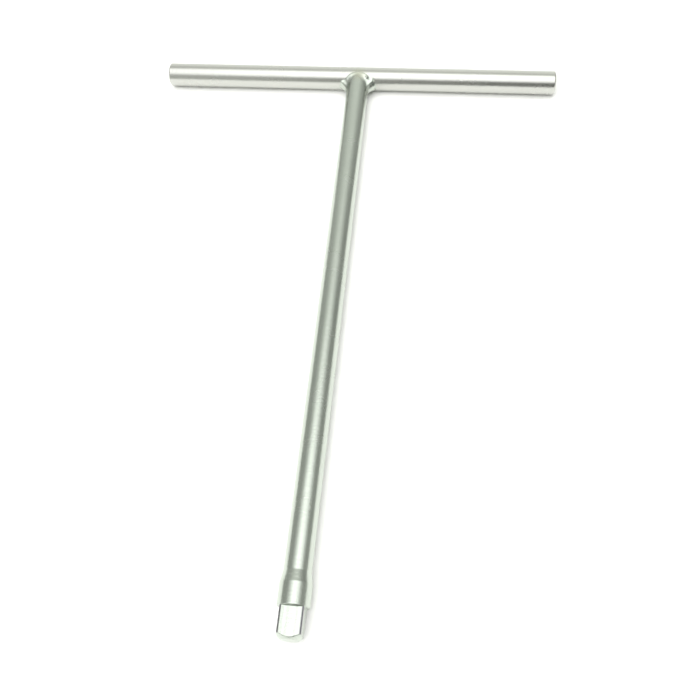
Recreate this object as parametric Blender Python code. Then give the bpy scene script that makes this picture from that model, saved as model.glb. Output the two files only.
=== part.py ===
"""A fixed T-handle for sockets: a straight cross handle, a round shank with a turned collar and
a milled 3/8 in. square, the fillet weld that joins the two, and the sprung ball in the square
that holds a socket on.

The tool lies flat. +X runs along the cross handle, +Y along the shank towards the handle, and
+Z is up. The origin is under the middle of the tool, level with the underside of the collar.
"""

import math

import bmesh
import bpy
from mathutils import Matrix, Vector

MM = 0.001

# Overall sizes
OVERALL_LENGTH = 285.0 * MM
HANDLE_LENGTH = 200.0 * MM

# Cross handle
HANDLE_DIAMETER = 11.5 * MM
HANDLE_END_CHAMFER = 0.7 * MM

# Shank
STEM_DIAMETER = 11.0 * MM
CONE_LENGTH = 4.5 * MM
COLLAR_DIAMETER = 12.8 * MM
COLLAR_LENGTH = 8.7 * MM

# Square drive, whose corners are left round from the turned blank
SQUARE_SIDE = 9.53 * MM
SQUARE_LENGTH = 11.75 * MM
CORNER_DIAMETER = 12.7 * MM
TIP_FACE_DIAMETER = 7.2 * MM
TIP_CONE_LENGTH = 2.05 * MM

# Fillet weld: its legs at the sides of the shank, and above and below it
WELD_SIDE_LEG = 4.0 * MM
WELD_CROWN_LEG = 0.8 * MM
WELD_BULGE = 0.25 * MM

# Detent in the underside of the square
BALL_DIAMETER = 3.5 * MM
BALL_PROUD = 0.75 * MM
BALL_TO_TIP = 5.75 * MM
LIP_DEPTH = 0.4 * MM
SPRING_WIRE = 0.35 * MM
SPRING_DIAMETER = 2.6 * MM
SPRING_LENGTH = 4.2 * MM
SPRING_TURNS = 6

# Clearances
WELD_GAP = 0.3 * MM
BALL_CLEARANCE = 0.08 * MM
SPRING_SEAT_GAP = 0.1 * MM

# Mesh fineness
TURNED_SIDES = 64
POCKET_SIDES = 32
WELD_SIDES = 48
COIL_POINTS_PER_TURN = 14
MERGE_DISTANCE = 0.001 * MM
CUTTER_REACH = 20.0 * MM

# Places worked out from the sizes
AXIS_HEIGHT = COLLAR_DIAMETER / 2
HANDLE_Y = OVERALL_LENGTH / 2 - HANDLE_DIAMETER / 2
TIP_Y = -OVERALL_LENGTH / 2
SHANK_LENGTH = HANDLE_Y - TIP_Y
SHOULDER_Y = TIP_Y + SQUARE_LENGTH
UNDERSIDE_Z = AXIS_HEIGHT - SQUARE_SIDE / 2
BALL_Y = TIP_Y + BALL_TO_TIP
BALL_DEPTH = BALL_DIAMETER / 2 - BALL_PROUD

ALONG_X = Matrix.Rotation(math.radians(90), 4, "Y")
ALONG_Y = Matrix.Rotation(math.radians(-90), 4, "X")
AXIS_CENTRE = Vector((0.0, 0.0, AXIS_HEIGHT))


def clear_scene():
    for old in list(bpy.data.objects):
        bpy.data.objects.remove(old)


def make_material(name, colour, roughness, metallic):
    material = bpy.data.materials.new(name)
    material.use_nodes = True
    shader = material.node_tree.nodes["Principled BSDF"]
    shader.inputs["Base Color"].default_value = (*colour, 1.0)
    shader.inputs["Roughness"].default_value = roughness
    shader.inputs["Metallic"].default_value = metallic
    return material


def add_object(shape, name, material=None):
    """Turns a bmesh into an object. A piece without a material is a cutter."""
    bmesh.ops.remove_doubles(shape, verts=shape.verts, dist=MERGE_DISTANCE)
    bmesh.ops.recalc_face_normals(shape, faces=shape.faces)
    mesh = bpy.data.meshes.new(name)
    shape.to_mesh(mesh)
    shape.free()
    made = bpy.data.objects.new(name, mesh)
    bpy.context.scene.collection.objects.link(made)
    if material is None:
        made.hide_render = True
        made.display_type = "WIRE"
    else:
        mesh.materials.append(material)
        mesh.shade_smooth()
        mesh.set_sharp_from_angle(angle=math.radians(30))
    return made


def turned(profile, sides, place):
    """A solid of revolution: the profile is (distance along the axis, radius) pairs."""
    shape = bmesh.new()
    points = [shape.verts.new((radius, 0.0, distance)) for distance, radius in profile]
    edges = [shape.edges.new(pair) for pair in zip(points, points[1:])]
    bmesh.ops.spin(
        shape, geom=points + edges, cent=(0, 0, 0), axis=(0, 0, 1), dvec=(0, 0, 0),
        angle=math.tau, steps=sides, use_merge=True, use_duplicate=False,
    )
    bmesh.ops.transform(shape, matrix=place, verts=shape.verts)
    return shape


def cut(target, cutter):
    boolean = target.modifiers.new("cut_" + cutter.name, "BOOLEAN")
    boolean.operation = "DIFFERENCE"
    boolean.solver = "EXACT"
    boolean.object = cutter


def make_cross_handle(material):
    """A round bar with both ends chamfered."""
    radius = HANDLE_DIAMETER / 2
    end = HANDLE_LENGTH / 2
    chamfer = HANDLE_END_CHAMFER
    profile = [
        (-end, 0.0),
        (-end, radius - chamfer),
        (-end + chamfer, radius),
        (end - chamfer, radius),
        (end, radius - chamfer),
        (end, 0.0),
    ]
    place = Matrix.Translation((0.0, HANDLE_Y, AXIS_HEIGHT)) @ ALONG_X
    return add_object(turned(profile, TURNED_SIDES, place), "cross_handle", material)


def make_shank(material):
    """One turned bar: stem, cone, collar, and the blank that the square is milled from."""
    corner = CORNER_DIAMETER / 2
    collar_start = SQUARE_LENGTH
    collar_end = collar_start + COLLAR_LENGTH
    stem_start = collar_end + CONE_LENGTH
    profile = [
        (0.0, 0.0),
        (0.0, TIP_FACE_DIAMETER / 2),
        (TIP_CONE_LENGTH, corner),
        (collar_start, corner),
        (collar_start, COLLAR_DIAMETER / 2),
        (collar_end, COLLAR_DIAMETER / 2),
        (stem_start, STEM_DIAMETER / 2),
        (SHANK_LENGTH, STEM_DIAMETER / 2),
        (SHANK_LENGTH, 0.0),
    ]
    place = Matrix.Translation((0.0, TIP_Y, AXIS_HEIGHT)) @ ALONG_Y
    shank = add_object(turned(profile, TURNED_SIDES, place), "shank", material)
    for quarter in range(4):
        cut(shank, make_flat_cutter(quarter))
    cut(shank, make_cope_cutter())
    cut(shank, make_pocket_cutter())
    return shank


def make_flat_cutter(quarter):
    """A block that mills one flat of the square, up to the collar's shoulder."""
    shape = bmesh.new()
    bmesh.ops.create_cube(shape, size=1.0)
    length = SQUARE_LENGTH + CUTTER_REACH
    bmesh.ops.scale(shape, vec=(CUTTER_REACH, length, CUTTER_REACH), verts=shape.verts)
    middle = (0.0, SHOULDER_Y - length / 2, SQUARE_SIDE / 2 + CUTTER_REACH / 2)
    bmesh.ops.translate(shape, vec=middle, verts=shape.verts)
    quarter_turn = Matrix.Rotation(quarter * math.pi / 2, 3, "Y")
    bmesh.ops.rotate(shape, cent=(0, 0, 0), matrix=quarter_turn, verts=shape.verts)
    bmesh.ops.translate(shape, vec=AXIS_CENTRE, verts=shape.verts)
    return add_object(shape, f"flat_cutter_{quarter}")


def make_cope_cutter():
    """A cylinder a little larger than the cross handle, which shapes the stem's end to it."""
    radius = HANDLE_DIAMETER / 2 + WELD_GAP
    reach = CUTTER_REACH
    profile = [(-reach, 0.0), (-reach, radius), (reach, radius), (reach, 0.0)]
    place = Matrix.Translation((0.0, HANDLE_Y, AXIS_HEIGHT)) @ ALONG_X
    return add_object(turned(profile, 2 * TURNED_SIDES, place), "cope_cutter")


def make_pocket_cutter():
    """The blind hole for the ball and spring. Its mouth is staked in around the ball."""
    ball = BALL_DIAMETER / 2
    mouth = math.sqrt(ball**2 - BALL_DEPTH**2) + BALL_CLEARANCE
    under_lip = math.sqrt(ball**2 - (BALL_DEPTH - LIP_DEPTH) ** 2) + BALL_CLEARANCE
    bore = ball + BALL_CLEARANCE
    bottom = spring_start_depth() + SPRING_LENGTH + SPRING_SEAT_GAP
    profile = [
        (-BALL_PROUD, 0.0),
        (-BALL_PROUD, mouth),
        (0.0, mouth),
        (LIP_DEPTH, under_lip),
        (LIP_DEPTH, bore),
        (bottom, bore),
        (bottom, 0.0),
    ]
    place = Matrix.Translation((0.0, BALL_Y, UNDERSIDE_Z))
    return add_object(turned(profile, POCKET_SIDES, place), "pocket_cutter")


def spring_start_depth():
    """Depth below the flat at which the spring's first turn clears the ball."""
    touching = BALL_DIAMETER / 2 + SPRING_WIRE / 2 + SPRING_SEAT_GAP
    behind_ball = math.sqrt(touching**2 - (SPRING_DIAMETER / 2) ** 2)
    return BALL_DEPTH + behind_ball - SPRING_WIRE / 2


def weld_ring(shape, place_vertex):
    """A closed ring round the stem, each vertex placed from its angle round the stem."""
    ring = bmesh.ops.create_circle(shape, radius=1.0, segments=WELD_SIDES, cap_ends=False)
    for vertex in ring["verts"]:
        vertex.co = place_vertex(math.atan2(vertex.co.y, vertex.co.x))
    return list({edge for vertex in ring["verts"] for edge in vertex.link_edges})


def make_weld(material):
    """A fillet all round the saddle line where the stem meets the handle."""
    stem = STEM_DIAMETER / 2 + WELD_GAP
    handle = HANDLE_DIAMETER / 2 + WELD_GAP

    def leg(angle):
        side = math.cos(angle) ** 2
        return WELD_SIDE_LEG * side + WELD_CROWN_LEG * (1 - side)

    def on_handle(across, around):
        y = HANDLE_Y - handle * math.cos(around)
        return Vector((across, y, AXIS_HEIGHT + handle * math.sin(around)))

    def root(angle):
        return on_handle(stem * math.cos(angle), math.asin(stem * math.sin(angle) / handle))

    def stem_toe(angle):
        return root(angle) - Vector((0.0, leg(angle), 0.0))

    def handle_toe(angle):
        around = math.asin(stem * math.sin(angle) / handle)
        around += leg(angle) * math.sin(angle) / handle
        return on_handle((stem + leg(angle)) * math.cos(angle), around)

    def face(angle):
        middle = (stem_toe(angle) + handle_toe(angle)) / 2
        outward = Vector((math.cos(angle), 0.0, math.sin(angle)))
        hollow = WELD_BULGE * (1 - 2 * math.cos(angle) ** 2)
        return middle + outward * hollow

    shape = bmesh.new()
    rings = [weld_ring(shape, place) for place in (root, stem_toe, face, handle_toe)]
    for first, second in zip(rings, rings[1:] + rings[:1]):
        bmesh.ops.bridge_loops(shape, edges=first + second)
    return add_object(shape, "weld_bead", material)


def make_detent_ball(material):
    shape = bmesh.new()
    bmesh.ops.create_icosphere(shape, subdivisions=3, radius=BALL_DIAMETER / 2)
    ball = add_object(shape, "detent_ball", material)
    ball.location = (0.0, BALL_Y, UNDERSIDE_Z + BALL_DEPTH)
    return ball


def make_detent_spring(material):
    """A coil of round wire between the ball and the bottom of its pocket."""
    curve = bpy.data.curves.new("detent_spring", "CURVE")
    curve.dimensions = "3D"
    curve.bevel_depth = SPRING_WIRE / 2
    curve.bevel_resolution = 2
    curve.use_fill_caps = True
    start = UNDERSIDE_Z + spring_start_depth() + SPRING_WIRE / 2
    rise = SPRING_LENGTH - SPRING_WIRE
    steps = SPRING_TURNS * COIL_POINTS_PER_TURN
    wire = curve.splines.new("POLY")
    wire.points.add(steps)
    for step, point in enumerate(wire.points):
        turn = math.tau * step / COIL_POINTS_PER_TURN
        x = SPRING_DIAMETER / 2 * math.cos(turn)
        y = BALL_Y + SPRING_DIAMETER / 2 * math.sin(turn)
        point.co = (x, y, start + rise * step / steps, 1.0)
    curve.materials.append(material)
    spring = bpy.data.objects.new("detent_spring", curve)
    bpy.context.scene.collection.objects.link(spring)
    return spring


clear_scene()
satin_chrome = make_material("satin_chrome", (0.62, 0.63, 0.61), 0.25, 1.0)
plated_weld = make_material("plated_weld", (0.58, 0.59, 0.55), 0.32, 1.0)
bearing_steel = make_material("bearing_steel", (0.66, 0.66, 0.66), 0.12, 1.0)
spring_steel = make_material("spring_steel", (0.45, 0.44, 0.42), 0.35, 1.0)

make_cross_handle(satin_chrome)
make_shank(satin_chrome)
make_weld(plated_weld)
make_detent_ball(bearing_steel)
make_detent_spring(spring_steel)
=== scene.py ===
"""A fixed T-handle with a square drive for sockets, in satin chrome, lying on a white table."""

import math

import bmesh
import bpy
from mathutils import Matrix, Vector, noise


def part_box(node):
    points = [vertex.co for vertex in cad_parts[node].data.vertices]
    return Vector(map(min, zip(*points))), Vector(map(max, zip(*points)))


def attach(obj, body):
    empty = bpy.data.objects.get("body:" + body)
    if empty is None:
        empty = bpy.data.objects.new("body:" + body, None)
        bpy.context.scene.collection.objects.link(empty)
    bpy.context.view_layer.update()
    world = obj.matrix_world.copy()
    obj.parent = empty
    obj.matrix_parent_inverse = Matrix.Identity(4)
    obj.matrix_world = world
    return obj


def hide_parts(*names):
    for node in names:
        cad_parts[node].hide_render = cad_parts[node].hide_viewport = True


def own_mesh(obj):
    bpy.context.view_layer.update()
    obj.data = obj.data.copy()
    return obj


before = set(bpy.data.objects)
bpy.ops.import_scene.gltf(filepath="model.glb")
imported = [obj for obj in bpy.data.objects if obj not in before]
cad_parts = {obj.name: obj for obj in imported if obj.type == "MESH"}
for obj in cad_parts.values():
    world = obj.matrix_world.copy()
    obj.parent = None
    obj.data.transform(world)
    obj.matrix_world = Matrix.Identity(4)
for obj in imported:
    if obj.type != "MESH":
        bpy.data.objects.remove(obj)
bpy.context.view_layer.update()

# ---------------------------------------------------------------------------------------------
# Cross handle
# A length of drawn round bar, centreless ground, with both ends faced and chamfered in a lathe.
# It is chrome plated to a satin sheen after the shank has been welded to its middle.
# ---------------------------------------------------------------------------------------------

MM = 0.001
MERGE = 0.001 * MM
SHARP_ANGLE = 35
EDGE_SEGMENTS = 3


def ring_start(shape, sides, place):
    """Starts a tube with a ring of vertices. Each one remembers its angle round the tube."""
    turn = shape.verts.layers.float.new("turn")
    made = bmesh.ops.create_circle(shape, radius=1.0, segments=sides, cap_ends=False)
    for step, vertex in enumerate(made["verts"]):
        vertex[turn] = math.tau * step / sides
        vertex.co = place(vertex[turn])
    return list({edge for vertex in made["verts"] for edge in vertex.link_edges})


def ring_next(shape, ring, place):
    """Extrudes the ring and puts each new vertex where place says for its angle."""
    turn = shape.verts.layers.float["turn"]
    made = bmesh.ops.extrude_edge_only(shape, edges=ring)["geom"]
    for vertex in made:
        if isinstance(vertex, bmesh.types.BMVert):
            vertex.co = place(vertex[turn])
    return [edge for edge in made if isinstance(edge, bmesh.types.BMEdge)]


def tube(sides, places):
    """A closed solid through rings, each a place and how far its edge is rounded over."""
    shape = bmesh.new()
    rings = [ring_start(shape, sides, places[0][0])]
    for place, _ in places[1:]:
        rings.append(ring_next(shape, rings[-1], place))
    for end in (rings[0], rings[-1]):
        bmesh.ops.edgeloop_fill(shape, edges=end)
    bmesh.ops.recalc_face_normals(shape, faces=shape.faces)
    for ring, (_, rounding) in zip(rings, places):
        if rounding:
            bmesh.ops.bevel(
                shape, geom=ring, offset=rounding, offset_type="OFFSET",
                segments=EDGE_SEGMENTS, profile=0.5, affect="EDGES", clamp_overlap=True,
                material=-1,
            )
    return shape


def piece_from(shape, name, material):
    """Turns a finished bmesh into an object whose wide faces keep their own shading."""
    mesh = bpy.data.meshes.new(name)
    shape.to_mesh(mesh)
    shape.free()
    mesh.shade_smooth()
    mesh.set_sharp_from_angle(angle=math.radians(SHARP_ANGLE))
    mesh.materials.append(material)
    made = bpy.data.objects.new(name, mesh)
    bpy.context.scene.collection.objects.link(made)
    shading = made.modifiers.new("wide_faces_first", "WEIGHTED_NORMAL")
    shading.weight = 100
    shading.keep_sharp = True
    return made


def linear(code):
    """The linear colour of an sRGB hex code."""
    channels = [int(code[i:i + 2], 16) / 255 for i in (1, 3, 5)]
    return (*(c / 12.92 if c <= 0.04045 else ((c + 0.055) / 1.055) ** 2.4 for c in channels), 1.0)


def add_node(tree, kind, settings=None, links=None, values=None):
    """Adds a node with its properties, its links from other nodes' outputs and its values."""
    node = tree.nodes.new("ShaderNode" + kind)
    for name, value in (settings or {}).items():
        setattr(node, name, value)
    for socket, source in (links or {}).items():
        tree.links.new(source, node.inputs[socket])
    for socket, value in (values or {}).items():
        node.inputs[socket].default_value = value
    return node


HANDLE_CHROME = "#C8C9C4"
CHROME_BY_WELD = "#C5C8B8"
GRIND_LINE = 0.7 * MM
SATIN_GRAIN = 0.45 * MM
GRIND_DEPTH = 0.045 * MM
GRIND_STRETCH = 0.22
FACING_FEED = 0.35 * MM
PLATING_CLOUD = 14 * MM
CLOUD_SPREAD = 0.02
HEAT_RIGHT = 0.5 * MM
HEAT_FORWARD = 2.5 * MM
HEAT_CORE = 1 * MM
HEAT_REACH = 5 * MM
SATIN_ROUGHNESS = 0.26


def satin_chrome(name, axis, centre, heat_centre, colour, roughness=SATIN_ROUGHNESS):
    """Satin chrome over ground steel. Grinding leaves fine rings round the bar, which stretch
    the reflections along it, facing leaves rings of feed marks on its ends, and the matt nickel
    under the chrome leaves an even grain. All are drawn coarser than the real few hundredths of
    a millimetre, so that they show. The plating is a little yellow at the top of the weld,
    where the heat scale was not quite cleaned off."""
    material = bpy.data.materials.new(name)
    material.use_nodes = True
    tree = material.node_tree
    shader = tree.nodes["Principled BSDF"]
    shader.inputs["Metallic"].default_value = 1.0
    shader.inputs["Anisotropic"].default_value = 0.3
    along = add_node(tree, "CombineXYZ", values={axis: 1.0})
    tree.links.new(along.outputs[0], shader.inputs["Tangent"])
    place = add_node(tree, "TexCoord").outputs["Object"]
    squeezed = [1.0 if i == axis else GRIND_STRETCH for i in range(3)]
    lines_at = add_node(tree, "Mapping", links={"Vector": place}, values={"Scale": squeezed})
    lines = add_node(
        tree, "TexNoise", links={"Vector": lines_at.outputs[0]},
        values={"Scale": 1 / GRIND_LINE, "Detail": 2.0},
    )
    grain = add_node(
        tree, "TexNoise", links={"Vector": place},
        values={"Scale": 1 / SATIN_GRAIN, "Detail": 1.5},
    )
    across = [0.0 if i == axis else 1.0 for i in range(3)]
    from_axis = add_node(
        tree, "Mapping", links={"Vector": place},
        values={"Scale": across, "Location": [-c * a for c, a in zip(centre, across)]},
    )
    radius = add_node(tree, "VectorMath", {"operation": "LENGTH"}, {0: from_axis.outputs[0]})
    feed = add_node(
        tree, "TexNoise", {"noise_dimensions": "1D"}, {"W": radius.outputs["Value"]},
        {"Scale": 1 / FACING_FEED, "Detail": 1.0},
    )
    height = lines.outputs["Fac"]
    for marks in (grain, feed):
        both = add_node(
            tree, "Math", {"operation": "ADD"}, {0: height, 1: marks.outputs["Fac"]}
        )
        height = both.outputs[0]
    bump = add_node(
        tree, "Bump", links={"Height": height},
        values={"Strength": 1.0, "Distance": GRIND_DEPTH},
    )
    tree.links.new(bump.outputs[0], shader.inputs["Normal"])
    cloud = add_node(
        tree, "TexNoise", links={"Vector": place}, values={"Scale": 1 / PLATING_CLOUD}
    )
    rough = add_node(
        tree, "MapRange", links={"Value": cloud.outputs["Fac"]},
        values={
            "From Min": 0.3, "From Max": 0.7,
            "To Min": roughness - CLOUD_SPREAD, "To Max": roughness + CLOUD_SPREAD,
        },
    )
    tree.links.new(rough.outputs[0], shader.inputs["Roughness"])
    away = add_node(
        tree, "VectorMath", {"operation": "DISTANCE"}, {0: place}, {1: heat_centre}
    )
    cool = add_node(
        tree, "MapRange", links={"Value": away.outputs["Value"]},
        values={"From Min": HEAT_CORE, "From Max": HEAT_REACH},
    )
    tint = add_node(
        tree, "Mix", {"data_type": "RGBA"}, {"Factor": cool.outputs[0]},
        {6: linear(CHROME_BY_WELD), 7: linear(colour)},
    )
    tree.links.new(tint.outputs[2], shader.inputs["Base Color"])
    return material


handle_low, handle_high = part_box("cross_handle")
handle_middle = (handle_low + handle_high) / 2
handle_radius = (handle_high.z - handle_low.z) / 2
weld_heat = Vector((HEAT_RIGHT, handle_middle.y - HEAT_FORWARD, handle_high.z))
HANDLE_CHAMFER = 0.7 * MM
FACE_EDGE = 0.12 * MM
CHAMFER_EDGE = 0.15 * MM
HANDLE_SIDES = 144


def handle_ring(x, radius):
    """A ring round the handle, at x along it."""
    def place(angle):
        around = Vector((0.0, math.cos(angle), math.sin(angle)))
        return Vector((x, handle_middle.y, handle_middle.z)) + radius * around
    return place


face_radius = handle_radius - HANDLE_CHAMFER
shape = tube(HANDLE_SIDES, [
    (handle_ring(handle_low.x, face_radius), FACE_EDGE),
    (handle_ring(handle_low.x + HANDLE_CHAMFER, handle_radius), CHAMFER_EDGE),
    (handle_ring(handle_high.x - HANDLE_CHAMFER, handle_radius), CHAMFER_EDGE),
    (handle_ring(handle_high.x, face_radius), FACE_EDGE),
])
handle_chrome = satin_chrome("satin_chrome_on_bar", 0, handle_middle, weld_heat, HANDLE_CHROME)
cross_handle = piece_from(shape, "cross_handle_bar", handle_chrome)
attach(cross_handle, "tool")
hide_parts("cross_handle")

# ---------------------------------------------------------------------------------------------
# Shank
# One bar, turned with a cone and a collar, with a square milled on its end. The corners of the
# square are what is left of the turned blank. It is plated with the handle after welding.
# ---------------------------------------------------------------------------------------------

shank_low, shank_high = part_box("shank")
axis_z = handle_middle.z
tip_y = shank_low.y
STEM_RADIUS = 5.5 * MM
COLLAR_RADIUS = shank_high.z - axis_z
COLLAR_LENGTH = 8.7 * MM
CONE_LENGTH = 4.5 * MM
SQUARE_HALF = 4.765 * MM
SQUARE_LENGTH = 11.75 * MM
BLANK_RADIUS = 6.35 * MM
CORNER_SOFTNESS = 0.35 * MM
TIP_FACE_RADIUS = 3.6 * MM
TIP_CONE_LENGTH = 2.05 * MM
MILL_FILLET = 0.5 * MM
MILL_FILLET_SHARE = 0.4
COLLAR_ROUNDING = 0.6 * MM
COLLAR_ROUNDING_SHARE = 0.55
TIP_FACE_EDGE = 0.15 * MM
TIP_CORNER_EDGE = 0.2 * MM
CONE_EDGE = 0.12 * MM
SHANK_SIDES = 288
CURVE_STEPS = 5
SHANK_CHROME = "#C3CAC1"
# Painted dark reflection along the square's corners, from this radius out, not a colour of the
# metal.
CORNER_DARK_REFLECTION = "#86848A"
DARK_REFLECTION_RADIUS = 5.95 * MM
DARK_REFLECTION_FADE = 0.3 * MM
shoulder_y = tip_y + SQUARE_LENGTH
collar_y = shoulder_y + COLLAR_LENGTH
stem_y = collar_y + CONE_LENGTH


def around_shank(angle, y, radius):
    """A point at an angle round the shank's axis, from the right and over the top."""
    return Vector((radius * math.cos(angle), y, axis_z + radius * math.sin(angle)))


def shank_ring(y, radius):
    return lambda angle: around_shank(angle, y, radius)


def square_reach(angle):
    """Distance from the axis to the square's outline: a flat, then a corner, rounded between."""
    off_flat = (angle + math.pi / 4) % (math.pi / 2) - math.pi / 4
    flat = SQUARE_HALF / math.cos(off_flat)
    return (flat + BLANK_RADIUS - math.hypot(flat - BLANK_RADIUS, CORNER_SOFTNESS)) / 2


def tip_ring(angle):
    """Where the cone turned on the tip cuts the square."""
    reach = square_reach(angle)
    up_cone = (reach - TIP_FACE_RADIUS) / (BLANK_RADIUS - TIP_FACE_RADIUS)
    return around_shank(angle, tip_y + up_cone * TIP_CONE_LENGTH, reach)


def mill_ring(bend):
    """Rounds the foot of the shoulder, where the cutter stopped, as bend goes from 0 to 1."""
    def place(angle):
        reach = square_reach(angle)
        fillet = min(MILL_FILLET, MILL_FILLET_SHARE * (COLLAR_RADIUS - reach))
        swing = bend * math.pi / 2
        y = shoulder_y - fillet * (1 - math.sin(swing))
        return around_shank(angle, y, reach + fillet * (1 - math.cos(swing)))
    return place


def rim_ring(bend):
    """Rounds the collar's rim over, as bend goes from 0 to 1."""
    def place(angle):
        shelf = COLLAR_RADIUS - square_reach(angle)
        rounding = min(COLLAR_ROUNDING, COLLAR_ROUNDING_SHARE * shelf)
        swing = bend * math.pi / 2
        y = shoulder_y + rounding * (1 - math.cos(swing))
        return around_shank(angle, y, COLLAR_RADIUS - rounding * (1 - math.sin(swing)))
    return place


def add_painted_corner_reflection(material):
    """The square's corners are outside the milled flats, and keep the blank's turned skin. They
    are painted darker there, as a painted dark reflection of the room along each corner."""
    tree = material.node_tree
    base_colour = tree.nodes["Principled BSDF"].inputs["Base Color"]
    plated = base_colour.links[0].from_socket
    place = add_node(tree, "TexCoord").outputs["Object"]
    from_axis = add_node(
        tree, "Mapping", links={"Vector": place},
        values={"Scale": (1.0, 0.0, 1.0), "Location": (0.0, 0.0, -axis_z)},
    )
    radius = add_node(tree, "VectorMath", {"operation": "LENGTH"}, {0: from_axis.outputs[0]})
    on_corner = add_node(
        tree, "MapRange", links={"Value": radius.outputs["Value"]},
        values={"From Min": DARK_REFLECTION_RADIUS, "From Max": DARK_REFLECTION_RADIUS + DARK_REFLECTION_FADE},
    )
    along = add_node(tree, "SeparateXYZ", links={0: place})
    on_square = add_node(
        tree, "Math", {"operation": "LESS_THAN"}, {0: along.outputs["Y"]}, {1: shoulder_y}
    )
    dark_reflection_mask = add_node(
        tree, "Math", {"operation": "MULTIPLY"},
        {0: on_corner.outputs[0], 1: on_square.outputs[0]},
    )
    with_dark_reflection = add_node(
        tree, "Mix", {"data_type": "RGBA"}, {"Factor": dark_reflection_mask.outputs[0], 6: plated},
        {7: linear(CORNER_DARK_REFLECTION)},
    )
    tree.links.new(with_dark_reflection.outputs[2], base_colour)


shape = tube(SHANK_SIDES, [
    (shank_ring(tip_y, TIP_FACE_RADIUS), TIP_FACE_EDGE),
    (tip_ring, TIP_CORNER_EDGE),
    *((mill_ring(step / CURVE_STEPS), 0) for step in range(CURVE_STEPS + 1)),
    *((rim_ring(step / CURVE_STEPS), 0) for step in range(CURVE_STEPS + 1)),
    (shank_ring(collar_y, COLLAR_RADIUS), CONE_EDGE),
    (shank_ring(stem_y, STEM_RADIUS), CONE_EDGE),
    (shank_ring(handle_middle.y, STEM_RADIUS), 0),
])
shank_axis = Vector((0.0, 0.0, axis_z))
shank_chrome = satin_chrome("satin_chrome_on_shank", 1, shank_axis, weld_heat, SHANK_CHROME)
# Paints a dark reflection of the room along the square's corners.
add_painted_corner_reflection(shank_chrome)
shank = piece_from(shape, "shank_turned", shank_chrome)

spring_low, spring_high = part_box("detent_spring")
ball_low, ball_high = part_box("detent_ball")
ball_middle = (ball_low + ball_high) / 2
ball_radius = (ball_high.x - ball_low.x) / 2
BALL_CLEARANCE = 0.08 * MM
SPRING_SEAT_GAP = 0.1 * MM
CUTTER_OVERLAP = 1 * MM
LIP_DEPTH = 0.4 * MM
STAKED_RING = 2.35 * MM
STAKED_DEPTH = 0.12 * MM
POCKET_SIDES = 96
underside_z = axis_z - SQUARE_HALF


def turned_cutter(profile, centre):
    """A closed solid of revolution about the ball pocket's axis, as an object."""
    shape = bmesh.new()
    points = [shape.verts.new((radius, 0.0, height)) for radius, height in profile]
    edges = [shape.edges.new(pair) for pair in zip(points, points[1:] + points[:1])]
    bmesh.ops.spin(
        shape, geom=points + edges, cent=(0, 0, 0), axis=(0, 0, 1), dvec=(0, 0, 0),
        angle=math.tau, steps=POCKET_SIDES, use_merge=True, use_duplicate=False,
    )
    bmesh.ops.remove_doubles(shape, verts=shape.verts, dist=MERGE)
    bmesh.ops.recalc_face_normals(shape, faces=shape.faces)
    half_step = Matrix.Rotation(math.pi / POCKET_SIDES, 3, "Z")
    bmesh.ops.rotate(shape, cent=(0, 0, 0), matrix=half_step, verts=shape.verts)
    bmesh.ops.translate(shape, vec=centre, verts=shape.verts)
    mesh = bpy.data.meshes.new("pocket_cutter")
    shape.to_mesh(mesh)
    shape.free()
    cutter = bpy.data.objects.new("pocket_cutter", mesh)
    bpy.context.scene.collection.objects.link(cutter)
    return cutter


def cut(piece, cutter):
    """Cuts the piece for good, and throws the cutter away."""
    boolean = piece.modifiers.new("cut", "BOOLEAN")
    boolean.operation = "DIFFERENCE"
    boolean.solver = "EXACT"
    boolean.object = cutter
    piece.modifiers.move(len(piece.modifiers) - 1, 0)
    shading = piece.modifiers["wide_faces_first"]
    shading.show_viewport = False
    graph = bpy.context.evaluated_depsgraph_get()
    piece.data = bpy.data.meshes.new_from_object(piece.evaluated_get(graph))
    piece.modifiers.remove(boolean)
    shading.show_viewport = True
    bpy.data.objects.remove(cutter)


ball_depth = ball_middle.z - underside_z
mouth = math.sqrt(ball_radius ** 2 - ball_depth ** 2) + BALL_CLEARANCE
under_lip = math.sqrt(ball_radius ** 2 - (ball_depth - LIP_DEPTH) ** 2) + BALL_CLEARANCE
bore = ball_radius + BALL_CLEARANCE
pocket_bottom = spring_high.z + SPRING_SEAT_GAP - underside_z
pocket_centre = Vector((0.0, ball_middle.y, underside_z))
cut(shank, turned_cutter([
    (0.0, -CUTTER_OVERLAP), (mouth, -CUTTER_OVERLAP), (mouth, 0.0), (under_lip, LIP_DEPTH),
    (bore, LIP_DEPTH), (bore, pocket_bottom), (0.0, pocket_bottom),
], pocket_centre))
cut(shank, turned_cutter([
    (STAKED_RING - STAKED_DEPTH, -CUTTER_OVERLAP), (STAKED_RING - STAKED_DEPTH, 0.0),
    (STAKED_RING, STAKED_DEPTH), (STAKED_RING + STAKED_DEPTH, 0.0),
    (STAKED_RING + STAKED_DEPTH, -CUTTER_OVERLAP),
], pocket_centre))
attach(shank, "tool")
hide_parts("shank")

# ---------------------------------------------------------------------------------------------
# Weld bead
# A fillet of weld metal laid in short runs all round the shank, dressed a little on top, then
# plated with the rest. Drops are left at each side, where the runs start and stop.
# ---------------------------------------------------------------------------------------------

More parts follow.
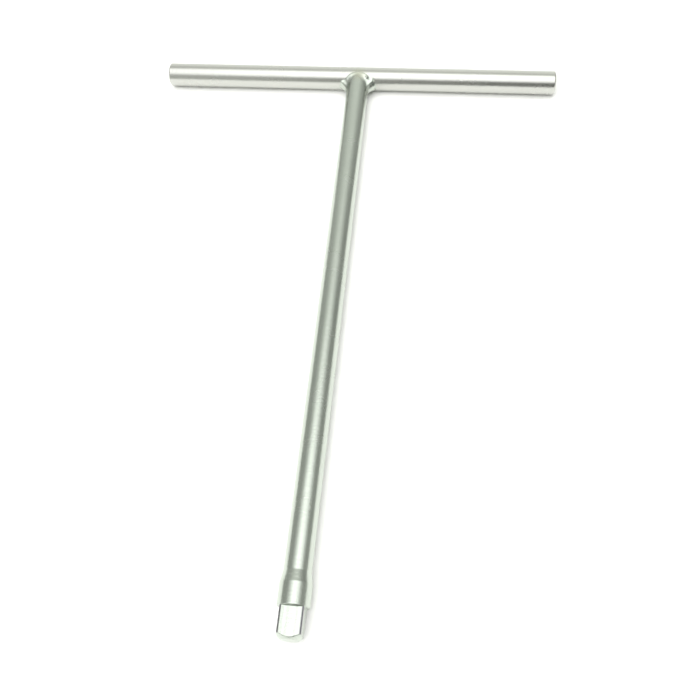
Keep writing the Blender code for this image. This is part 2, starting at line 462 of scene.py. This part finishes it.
SIDE_LEG = 4.0 * MM
RIGHT_FLARE_POWER = 4
LEFT_FLARE_POWER = 12
CROWN_POWER = 16
QUARTER_LEG = 2.0 * MM
CROWN_LEG = 0.85 * MM
TONGUE_TURNS = (29, 160)
TONGUE_REACH = 1.0 * MM
TONGUE_SPREAD = 7.0
STEM_LEG_LEAST = 2.0 * MM
STEM_LEG_SHARE = 0.8
HUG_ON_TOP = 0.86
HUG_AT_SIDES = 0.52
HUG_POWER = 6
CORE_SHARE = 0.8
TOE_ROLL = 0.38 * MM
TOE_LEAN = 0.6
RIPPLE_HEIGHT = 0.18 * MM
RIPPLE_PITCH = 1.6 * MM
WELD_ROUGHNESS = 0.28
WELD_RINGS = 24
WELD_SIDES = 288
SUNK = 0.04 * MM
SMALL_TURN = 0.001


def weld_leg(angle):
    """The fillet's leg: wide at the sides, most of all on the right, and short on top. A tongue
    of metal runs out under the drop at each side."""
    power = RIGHT_FLARE_POWER if math.cos(angle) > 0 else LEFT_FLARE_POWER
    side = abs(math.cos(angle)) ** power
    crown = math.sin(angle) ** CROWN_POWER
    leg = QUARTER_LEG + (SIDE_LEG - QUARTER_LEG) * side - (QUARTER_LEG - CROWN_LEG) * crown
    for turn in TONGUE_TURNS:
        leg += TONGUE_REACH * math.exp(-((math.degrees(angle) - turn) / TONGUE_SPREAD) ** 2)
    return leg


def saddle(angle):
    """The line where stem meets handle, laid out flat: across the handle, and up round it."""
    return Vector((
        STEM_RADIUS * math.cos(angle),
        handle_radius * math.asin(STEM_RADIUS * math.sin(angle) / handle_radius),
    ))


def on_handle(flat, depth=0.0):
    """A point laid out flat, put back on the handle's front, depth below its surface."""
    turn = flat.y / handle_radius
    radius = handle_radius - depth
    y = handle_middle.y - radius * math.cos(turn)
    return Vector((flat.x, y, axis_z + radius * math.sin(turn)))


def weld_core(angle):
    """The weld's unseen inner edge, inside the stem."""
    core = on_handle(saddle(angle))
    return Vector((core.x * CORE_SHARE, core.y, axis_z + (core.z - axis_z) * CORE_SHARE))


def smooth_weld(angle, share):
    """A point of the plain fillet, from its toe on the stem at 0 to that on the handle at 1.
    It leaves the stem flush, hugs it for a while, and flares out to meet the handle."""
    root = on_handle(saddle(angle))
    leg = weld_leg(angle)
    stem_leg = STEM_LEG_LEAST + STEM_LEG_SHARE * leg
    stem = around_shank(angle, root.y - stem_leg, STEM_RADIUS - SUNK)
    line = saddle(angle + SMALL_TURN) - saddle(angle - SMALL_TURN)
    square_off = Vector((line.y, -line.x)).normalized()
    handle = on_handle(saddle(angle) + leg * square_off, SUNK)
    hug = HUG_ON_TOP + (HUG_AT_SIDES - HUG_ON_TOP) * math.cos(angle) ** HUG_POWER
    middle = stem.lerp(root, hug)
    return stem.lerp(middle, share).lerp(middle.lerp(handle, share), share)


def off_weld(angle, share):
    """Straight out of the weld: off the stem at 0, and off the handle at 1."""
    point = smooth_weld(angle, share)
    off_stem = Vector((point.x, 0.0, point.z - axis_z)).normalized()
    off_handle = Vector((0.0, point.y - handle_middle.y, point.z - axis_z)).normalized()
    return off_stem.lerp(off_handle, share).normalized()


# Each drop, or pit between runs: degrees round the stem from the right, share across the bead,
# then height and width in millimetres.
DROPS = [
    (
        smooth_weld(math.radians(turn), share),
        off_weld(math.radians(turn), share) * height * MM,
        width * MM,
    )
    for turn, share, height, width in (
        (160, 0.92, 0.6, 0.5),
        (50, 0.75, 0.4, 0.6),
        (40, 0.8, -0.3, 0.5),
        (29, 0.92, 0.5, 0.45),
        (16, 0.8, -0.12, 0.8),
        (4, 0.12, 0.3, 0.7),
    )
]


def weld_face(share):
    """A ring of the bead's face, with its ripples, its drops and its pits. The toe rolls up
    and comes back down to the handle at its very edge."""
    def place(angle):
        point = smooth_weld(angle, share)
        outward = Vector((math.cos(angle), -TOE_LEAN, math.sin(angle))).normalized()
        rolled = share ** 2 * (1 - share ** 8)
        ripple = RIPPLE_HEIGHT * noise.noise(point / RIPPLE_PITCH)
        placed = point + outward * rolled * (TOE_ROLL + ripple)
        for centre, rise, width in DROPS:
            placed += rise * math.exp(-((point - centre).length / width) ** 2)
        return placed
    return place


shape = bmesh.new()
ring = first = ring_start(shape, WELD_SIDES, weld_core)
for step in range(WELD_RINGS + 1):
    ring = ring_next(shape, ring, weld_face(step / WELD_RINGS))
bmesh.ops.bridge_loops(shape, edges=first + ring)
bmesh.ops.recalc_face_normals(shape, faces=shape.faces)
weld_chrome = satin_chrome(
    "satin_chrome_on_weld", 1, shank_axis, weld_heat, SHANK_CHROME, WELD_ROUGHNESS
)
weld = piece_from(shape, "weld_fillet", weld_chrome)
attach(weld, "tool")
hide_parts("weld_bead")

# ---------------------------------------------------------------------------------------------
# Detent ball
# A hardened bearing ball, ground and lapped bright. Sockets have rubbed a small flat on it.
# It is dropped into its pocket on the spring, and the mouth of the pocket is staked in round it.
# ---------------------------------------------------------------------------------------------

BALL_STEEL = "#D4D4D2"
RUBBED_DEPTH = 0.02 * MM
LAPPING_SCRATCH = 0.12 * MM
SCRATCH_DEPTH = 0.002 * MM
RUB_PATCH = 1.2 * MM
BALL_SUBDIVISIONS = 6


def bearing_steel(name):
    """Lapped chrome steel. It is bright and almost a mirror, with fine scratches that cross at
    random, drawn about ten times their real width, and duller patches where sockets rub it."""
    material = bpy.data.materials.new(name)
    material.use_nodes = True
    tree = material.node_tree
    shader = tree.nodes["Principled BSDF"]
    shader.inputs["Metallic"].default_value = 1.0
    shader.inputs["Base Color"].default_value = linear(BALL_STEEL)
    place = add_node(tree, "TexCoord").outputs["Object"]
    scratches = add_node(
        tree, "TexVoronoi", {"feature": "DISTANCE_TO_EDGE"}, {"Vector": place},
        {"Scale": 1 / LAPPING_SCRATCH},
    )
    bump = add_node(
        tree, "Bump", links={"Height": scratches.outputs["Distance"]},
        values={"Strength": 0.4, "Distance": SCRATCH_DEPTH},
    )
    tree.links.new(bump.outputs[0], shader.inputs["Normal"])
    patches = add_node(
        tree, "TexNoise", links={"Vector": place}, values={"Scale": 1 / RUB_PATCH}
    )
    rough = add_node(
        tree, "MapRange", links={"Value": patches.outputs["Fac"]},
        values={"From Min": 0.4, "From Max": 0.65, "To Min": 0.08, "To Max": 0.2},
    )
    tree.links.new(rough.outputs[0], shader.inputs["Roughness"])
    return material


shape = bmesh.new()
bmesh.ops.create_icosphere(shape, subdivisions=BALL_SUBDIVISIONS, radius=ball_radius)
bmesh.ops.translate(shape, vec=ball_middle, verts=shape.verts)
bmesh.ops.bisect_plane(
    shape, geom=shape.verts[:] + shape.edges[:] + shape.faces[:], dist=MERGE,
    plane_co=(0, 0, ball_low.z + RUBBED_DEPTH), plane_no=(0, 0, -1), clear_outer=True,
)
bmesh.ops.edgeloop_fill(shape, edges=[e for e in shape.edges if e.is_boundary])
bmesh.ops.recalc_face_normals(shape, faces=shape.faces)
ball = piece_from(shape, "detent_ball_bright", bearing_steel("lapped_bearing_steel"))
ball.modifiers.clear()
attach(ball, "ball")
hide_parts("detent_ball")

# ---------------------------------------------------------------------------------------------
# Detent spring
# A coil of hard-drawn wire, with a closed turn at each end, which stands on the bottom of the
# blind pocket and pushes the ball out against the staked lip. It shortens as the ball goes in.
# ---------------------------------------------------------------------------------------------

WIRE_STEEL = "#A5A29C"
WIRE_DIAMETER = 0.35 * MM
WIRE_SIDES = 16
COIL_STEPS = 48
END_PITCH = 0.36 * MM
ACTIVE_TURNS = 4
DIE_LINE = 0.05 * MM
DIE_LINE_DEPTH = 0.003 * MM
DIE_LINE_STRETCH = 0.1
coil_radius = (spring_high.x - spring_low.x - WIRE_DIAMETER) / 2
spring_length = spring_high.z - spring_low.z
active_rise = spring_length - WIRE_DIAMETER - 2 * END_PITCH


def drawn_wire(name):
    """Hard-drawn spring wire, phosphate grey and lightly oiled. The die leaves lines along the
    wire, drawn coarser than the real few microns, and the coating is cloudy."""
    material = bpy.data.materials.new(name)
    material.use_nodes = True
    tree = material.node_tree
    shader = tree.nodes["Principled BSDF"]
    shader.inputs["Metallic"].default_value = 1.0
    shader.inputs["Base Color"].default_value = linear(WIRE_STEEL)
    place = add_node(tree, "TexCoord").outputs["Object"]
    lines_at = add_node(
        tree, "Mapping", links={"Vector": place},
        values={"Scale": (DIE_LINE_STRETCH, DIE_LINE_STRETCH, 1.0)},
    )
    lines = add_node(
        tree, "TexNoise", links={"Vector": lines_at.outputs[0]}, values={"Scale": 1 / DIE_LINE}
    )
    bump = add_node(
        tree, "Bump", links={"Height": lines.outputs["Fac"]},
        values={"Strength": 0.6, "Distance": DIE_LINE_DEPTH},
    )
    tree.links.new(bump.outputs[0], shader.inputs["Normal"])
    rough = add_node(
        tree, "MapRange", links={"Value": lines.outputs["Fac"]},
        values={"From Min": 0.3, "From Max": 0.7, "To Min": 0.28, "To Max": 0.42},
    )
    tree.links.new(rough.outputs[0], shader.inputs["Roughness"])
    return material


shape = bmesh.new()
upright = Matrix.Rotation(math.pi / 2, 4, "X")
start = Vector((coil_radius, ball_middle.y, spring_low.z + WIRE_DIAMETER / 2))
bmesh.ops.create_circle(
    shape, radius=WIRE_DIAMETER / 2, segments=WIRE_SIDES, cap_ends=False,
    matrix=Matrix.Translation(start) @ upright,
)
section = shape.verts[:] + shape.edges[:]
for turns, rise in ((1, END_PITCH), (ACTIVE_TURNS, active_rise), (1, END_PITCH)):
    steps = turns * COIL_STEPS
    coiled = bmesh.ops.spin(
        shape, geom=section, cent=(0, ball_middle.y, 0), axis=(0, 0, 1),
        dvec=(0, 0, rise / steps), angle=math.tau * turns, steps=steps,
        use_merge=False, use_duplicate=False,
    )
    section = coiled["geom_last"]
wire_ends = [edge for edge in shape.edges if edge.is_boundary]
bmesh.ops.holes_fill(shape, edges=wire_ends)
bmesh.ops.recalc_face_normals(shape, faces=shape.faces)
spring = piece_from(shape, "detent_spring_coil", drawn_wire("hard_drawn_spring_wire"))
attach(spring, "tool")
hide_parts("detent_spring")
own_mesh(spring)

# ---------------------------------------------------------------------------------------------
# Studio
# The tool rests on a white table by the handle and the collar. It is lit by a softbox overhead,
# a small key light and a wide fill light, in a pale room.
# ---------------------------------------------------------------------------------------------

# The table runs on so far that its edge stays close to the horizon in low views.
TABLE_SIZE = 60.0
TABLE_WHITE = "#F2F2F0"
collar_contact_y = (shoulder_y + collar_y) / 2
table_slope = math.atan2(handle_low.z, handle_middle.y - collar_contact_y)

shape = bmesh.new()
bmesh.ops.create_grid(shape, x_segments=1, y_segments=1, size=TABLE_SIZE / 2)
tilt = Matrix.Rotation(table_slope, 3, "X")
bmesh.ops.rotate(shape, cent=(0, 0, 0), matrix=tilt, verts=shape.verts)
table_z = -math.tan(table_slope) * collar_contact_y
bmesh.ops.translate(shape, vec=(0, 0, table_z), verts=shape.verts)
table_white = bpy.data.materials.new("white_laminate")
table_white.use_nodes = True
table = piece_from(shape, "table", table_white)
shader = table_white.node_tree.nodes["Principled BSDF"]
shader.inputs["Base Color"].default_value = linear(TABLE_WHITE)
shader.inputs["Roughness"].default_value = 0.7
shader.inputs["Specular IOR Level"].default_value = 0.2

world = bpy.data.worlds.new("studio")
world.use_nodes = True
bpy.context.scene.world = world
sky = world.node_tree
sky.nodes.clear()

# What the metal mirrors is laid out by the angles of each direction: how far it leans sideways
# and forward from straight up, and its bearing round the room from the back and from the front.
facing = add_node(sky, "SeparateXYZ", links={0: add_node(sky, "TexCoord").outputs["Generated"]})
east, north, up = facing.outputs
south = add_node(sky, "Math", {"operation": "MULTIPLY"}, {0: north}, {1: -1.0}).outputs[0]
angles = {}
for name, over, under in (
    ("sideways", east, up), ("forward", south, up),
    ("bearing", east, north), ("front_bearing", east, south),
):
    angles[name] = add_node(
        sky, "Math", {"operation": "ARCTAN2"}, {0: over, 1: under}
    ).outputs[0]
SOFTBOX_SLANT = 0.15
angles["slanted"] = add_node(
    sky, "Math", {"operation": "MULTIPLY_ADD"},
    {0: angles["sideways"], 2: angles["forward"]}, {1: SOFTBOX_SLANT},
).outputs[0]


def add_patch(level, strength, *edges):
    """Adds a soft-edged patch of light to the level, or takes one away. Each edge names an
    angle, and says in degrees where the patch ends and where it is full."""
    patch = None
    for angle, end, full in edges:
        edge = add_node(
            sky, "MapRange", {"interpolation_type": "SMOOTHSTEP"}, {"Value": angles[angle]},
            {"From Min": math.radians(end), "From Max": math.radians(full)},
        ).outputs[0]
        if patch is not None:
            edge = add_node(
                sky, "Math", {"operation": "MULTIPLY"}, {0: patch, 1: edge}
            ).outputs[0]
        patch = edge
    return add_node(
        sky, "Math", {"operation": "MULTIPLY_ADD"}, {0: patch, 2: level}, {1: strength}
    ).outputs[0]


ROOM_LEVEL = 0.52
ROOM_TINT = "#EBEDE7"
SOFTBOX_STRENGTH = 1.8
PAPER_STRENGTH = 1.1
PLAIN_WHITE = "#FFFFFF"
dark = add_node(sky, "Value").outputs[0]
room_level = add_node(sky, "Value").outputs[0]
dark.default_value = 0.0
room_level.default_value = ROOM_LEVEL
# Each patch of the room's walls: how much brighter or darker it is, then its edges.
for strength, *edges in (
    (0.40, ("bearing", -62, -18), ("bearing", 50, 12)),
    (0.35, ("bearing", -62, -18), ("bearing", 50, 12), ("forward", -40, -60)),
    (-0.15, ("bearing", 42, 56), ("bearing", 74, 56)),
    (0.26, ("front_bearing", -100, -80), ("front_bearing", 7, -13), ("forward", 40, 55)),
    (-0.36, ("front_bearing", -13, 7), ("front_bearing", 80, 50)),
):
    room_level = add_patch(room_level, strength, *edges)
softbox_level = add_patch(
    dark, SOFTBOX_STRENGTH, ("slanted", -34, -6), ("forward", 57, 29),
    ("sideways", -54, -4), ("sideways", 58, 14),
)
room = add_node(sky, "Background", links={1: room_level}, values={0: linear(ROOM_TINT)})
softbox = add_node(sky, "Background", links={1: softbox_level}, values={0: linear(PLAIN_WHITE)})
lit = add_node(sky, "AddShader", links={0: room.outputs[0], 1: softbox.outputs[0]})
# The camera itself sees plain white paper behind the table.
paper = add_node(sky, "Background", values={0: linear(PLAIN_WHITE), 1: PAPER_STRENGTH})
seen = add_node(sky, "LightPath").outputs["Is Camera Ray"]
shown = add_node(sky, "MixShader", links={0: seen, 1: lit.outputs[0], 2: paper.outputs[0]})
add_node(sky, "OutputWorld", links={"Surface": shown.outputs[0]})

# Each light: its place, then its width and depth in metres and its power in watts.
for name, stand, width, depth, power in (
    ("key", Vector((-0.25, -0.32, 0.78)), 1.0, 0.5, 2.2),
    ("fill", Vector((-0.30, -0.35, 1.60)), 2.5, 2.5, 21.0),
):
    light = bpy.data.objects.new(name, bpy.data.lights.new(name, "AREA"))
    light.data.shape = "RECTANGLE"
    light.data.size = width
    light.data.size_y = depth
    light.data.energy = power
    aim = stand.to_track_quat("Z", "Y").to_matrix().to_4x4()
    light.matrix_world = Matrix.Translation(stand) @ aim
    light.visible_glossy = False
    bpy.context.scene.collection.objects.link(light)

CAMERA_PLACE = Vector((46.8, -184.4, 320.8)) * MM
CAMERA_PITCH = 27.90
CAMERA_YAW = 12.52
CAMERA_ROLL = -7.91
SENSOR_WIDTH = 36.0
CAMERA_LENS = 42.53
camera = bpy.data.objects.new("camera", bpy.data.cameras.new("camera"))
camera.data.sensor_width = SENSOR_WIDTH
camera.data.lens = CAMERA_LENS
camera.data.clip_start = 0.01
camera.matrix_world = (
    Matrix.Translation(CAMERA_PLACE)
    @ Matrix.Rotation(math.radians(CAMERA_YAW), 4, "Z")
    @ Matrix.Rotation(math.radians(CAMERA_PITCH), 4, "X")
    @ Matrix.Rotation(math.radians(CAMERA_ROLL), 4, "Z")
)
bpy.context.scene.collection.objects.link(camera)
bpy.context.scene.camera = camera
bpy.context.scene.view_settings.view_transform = "Standard"
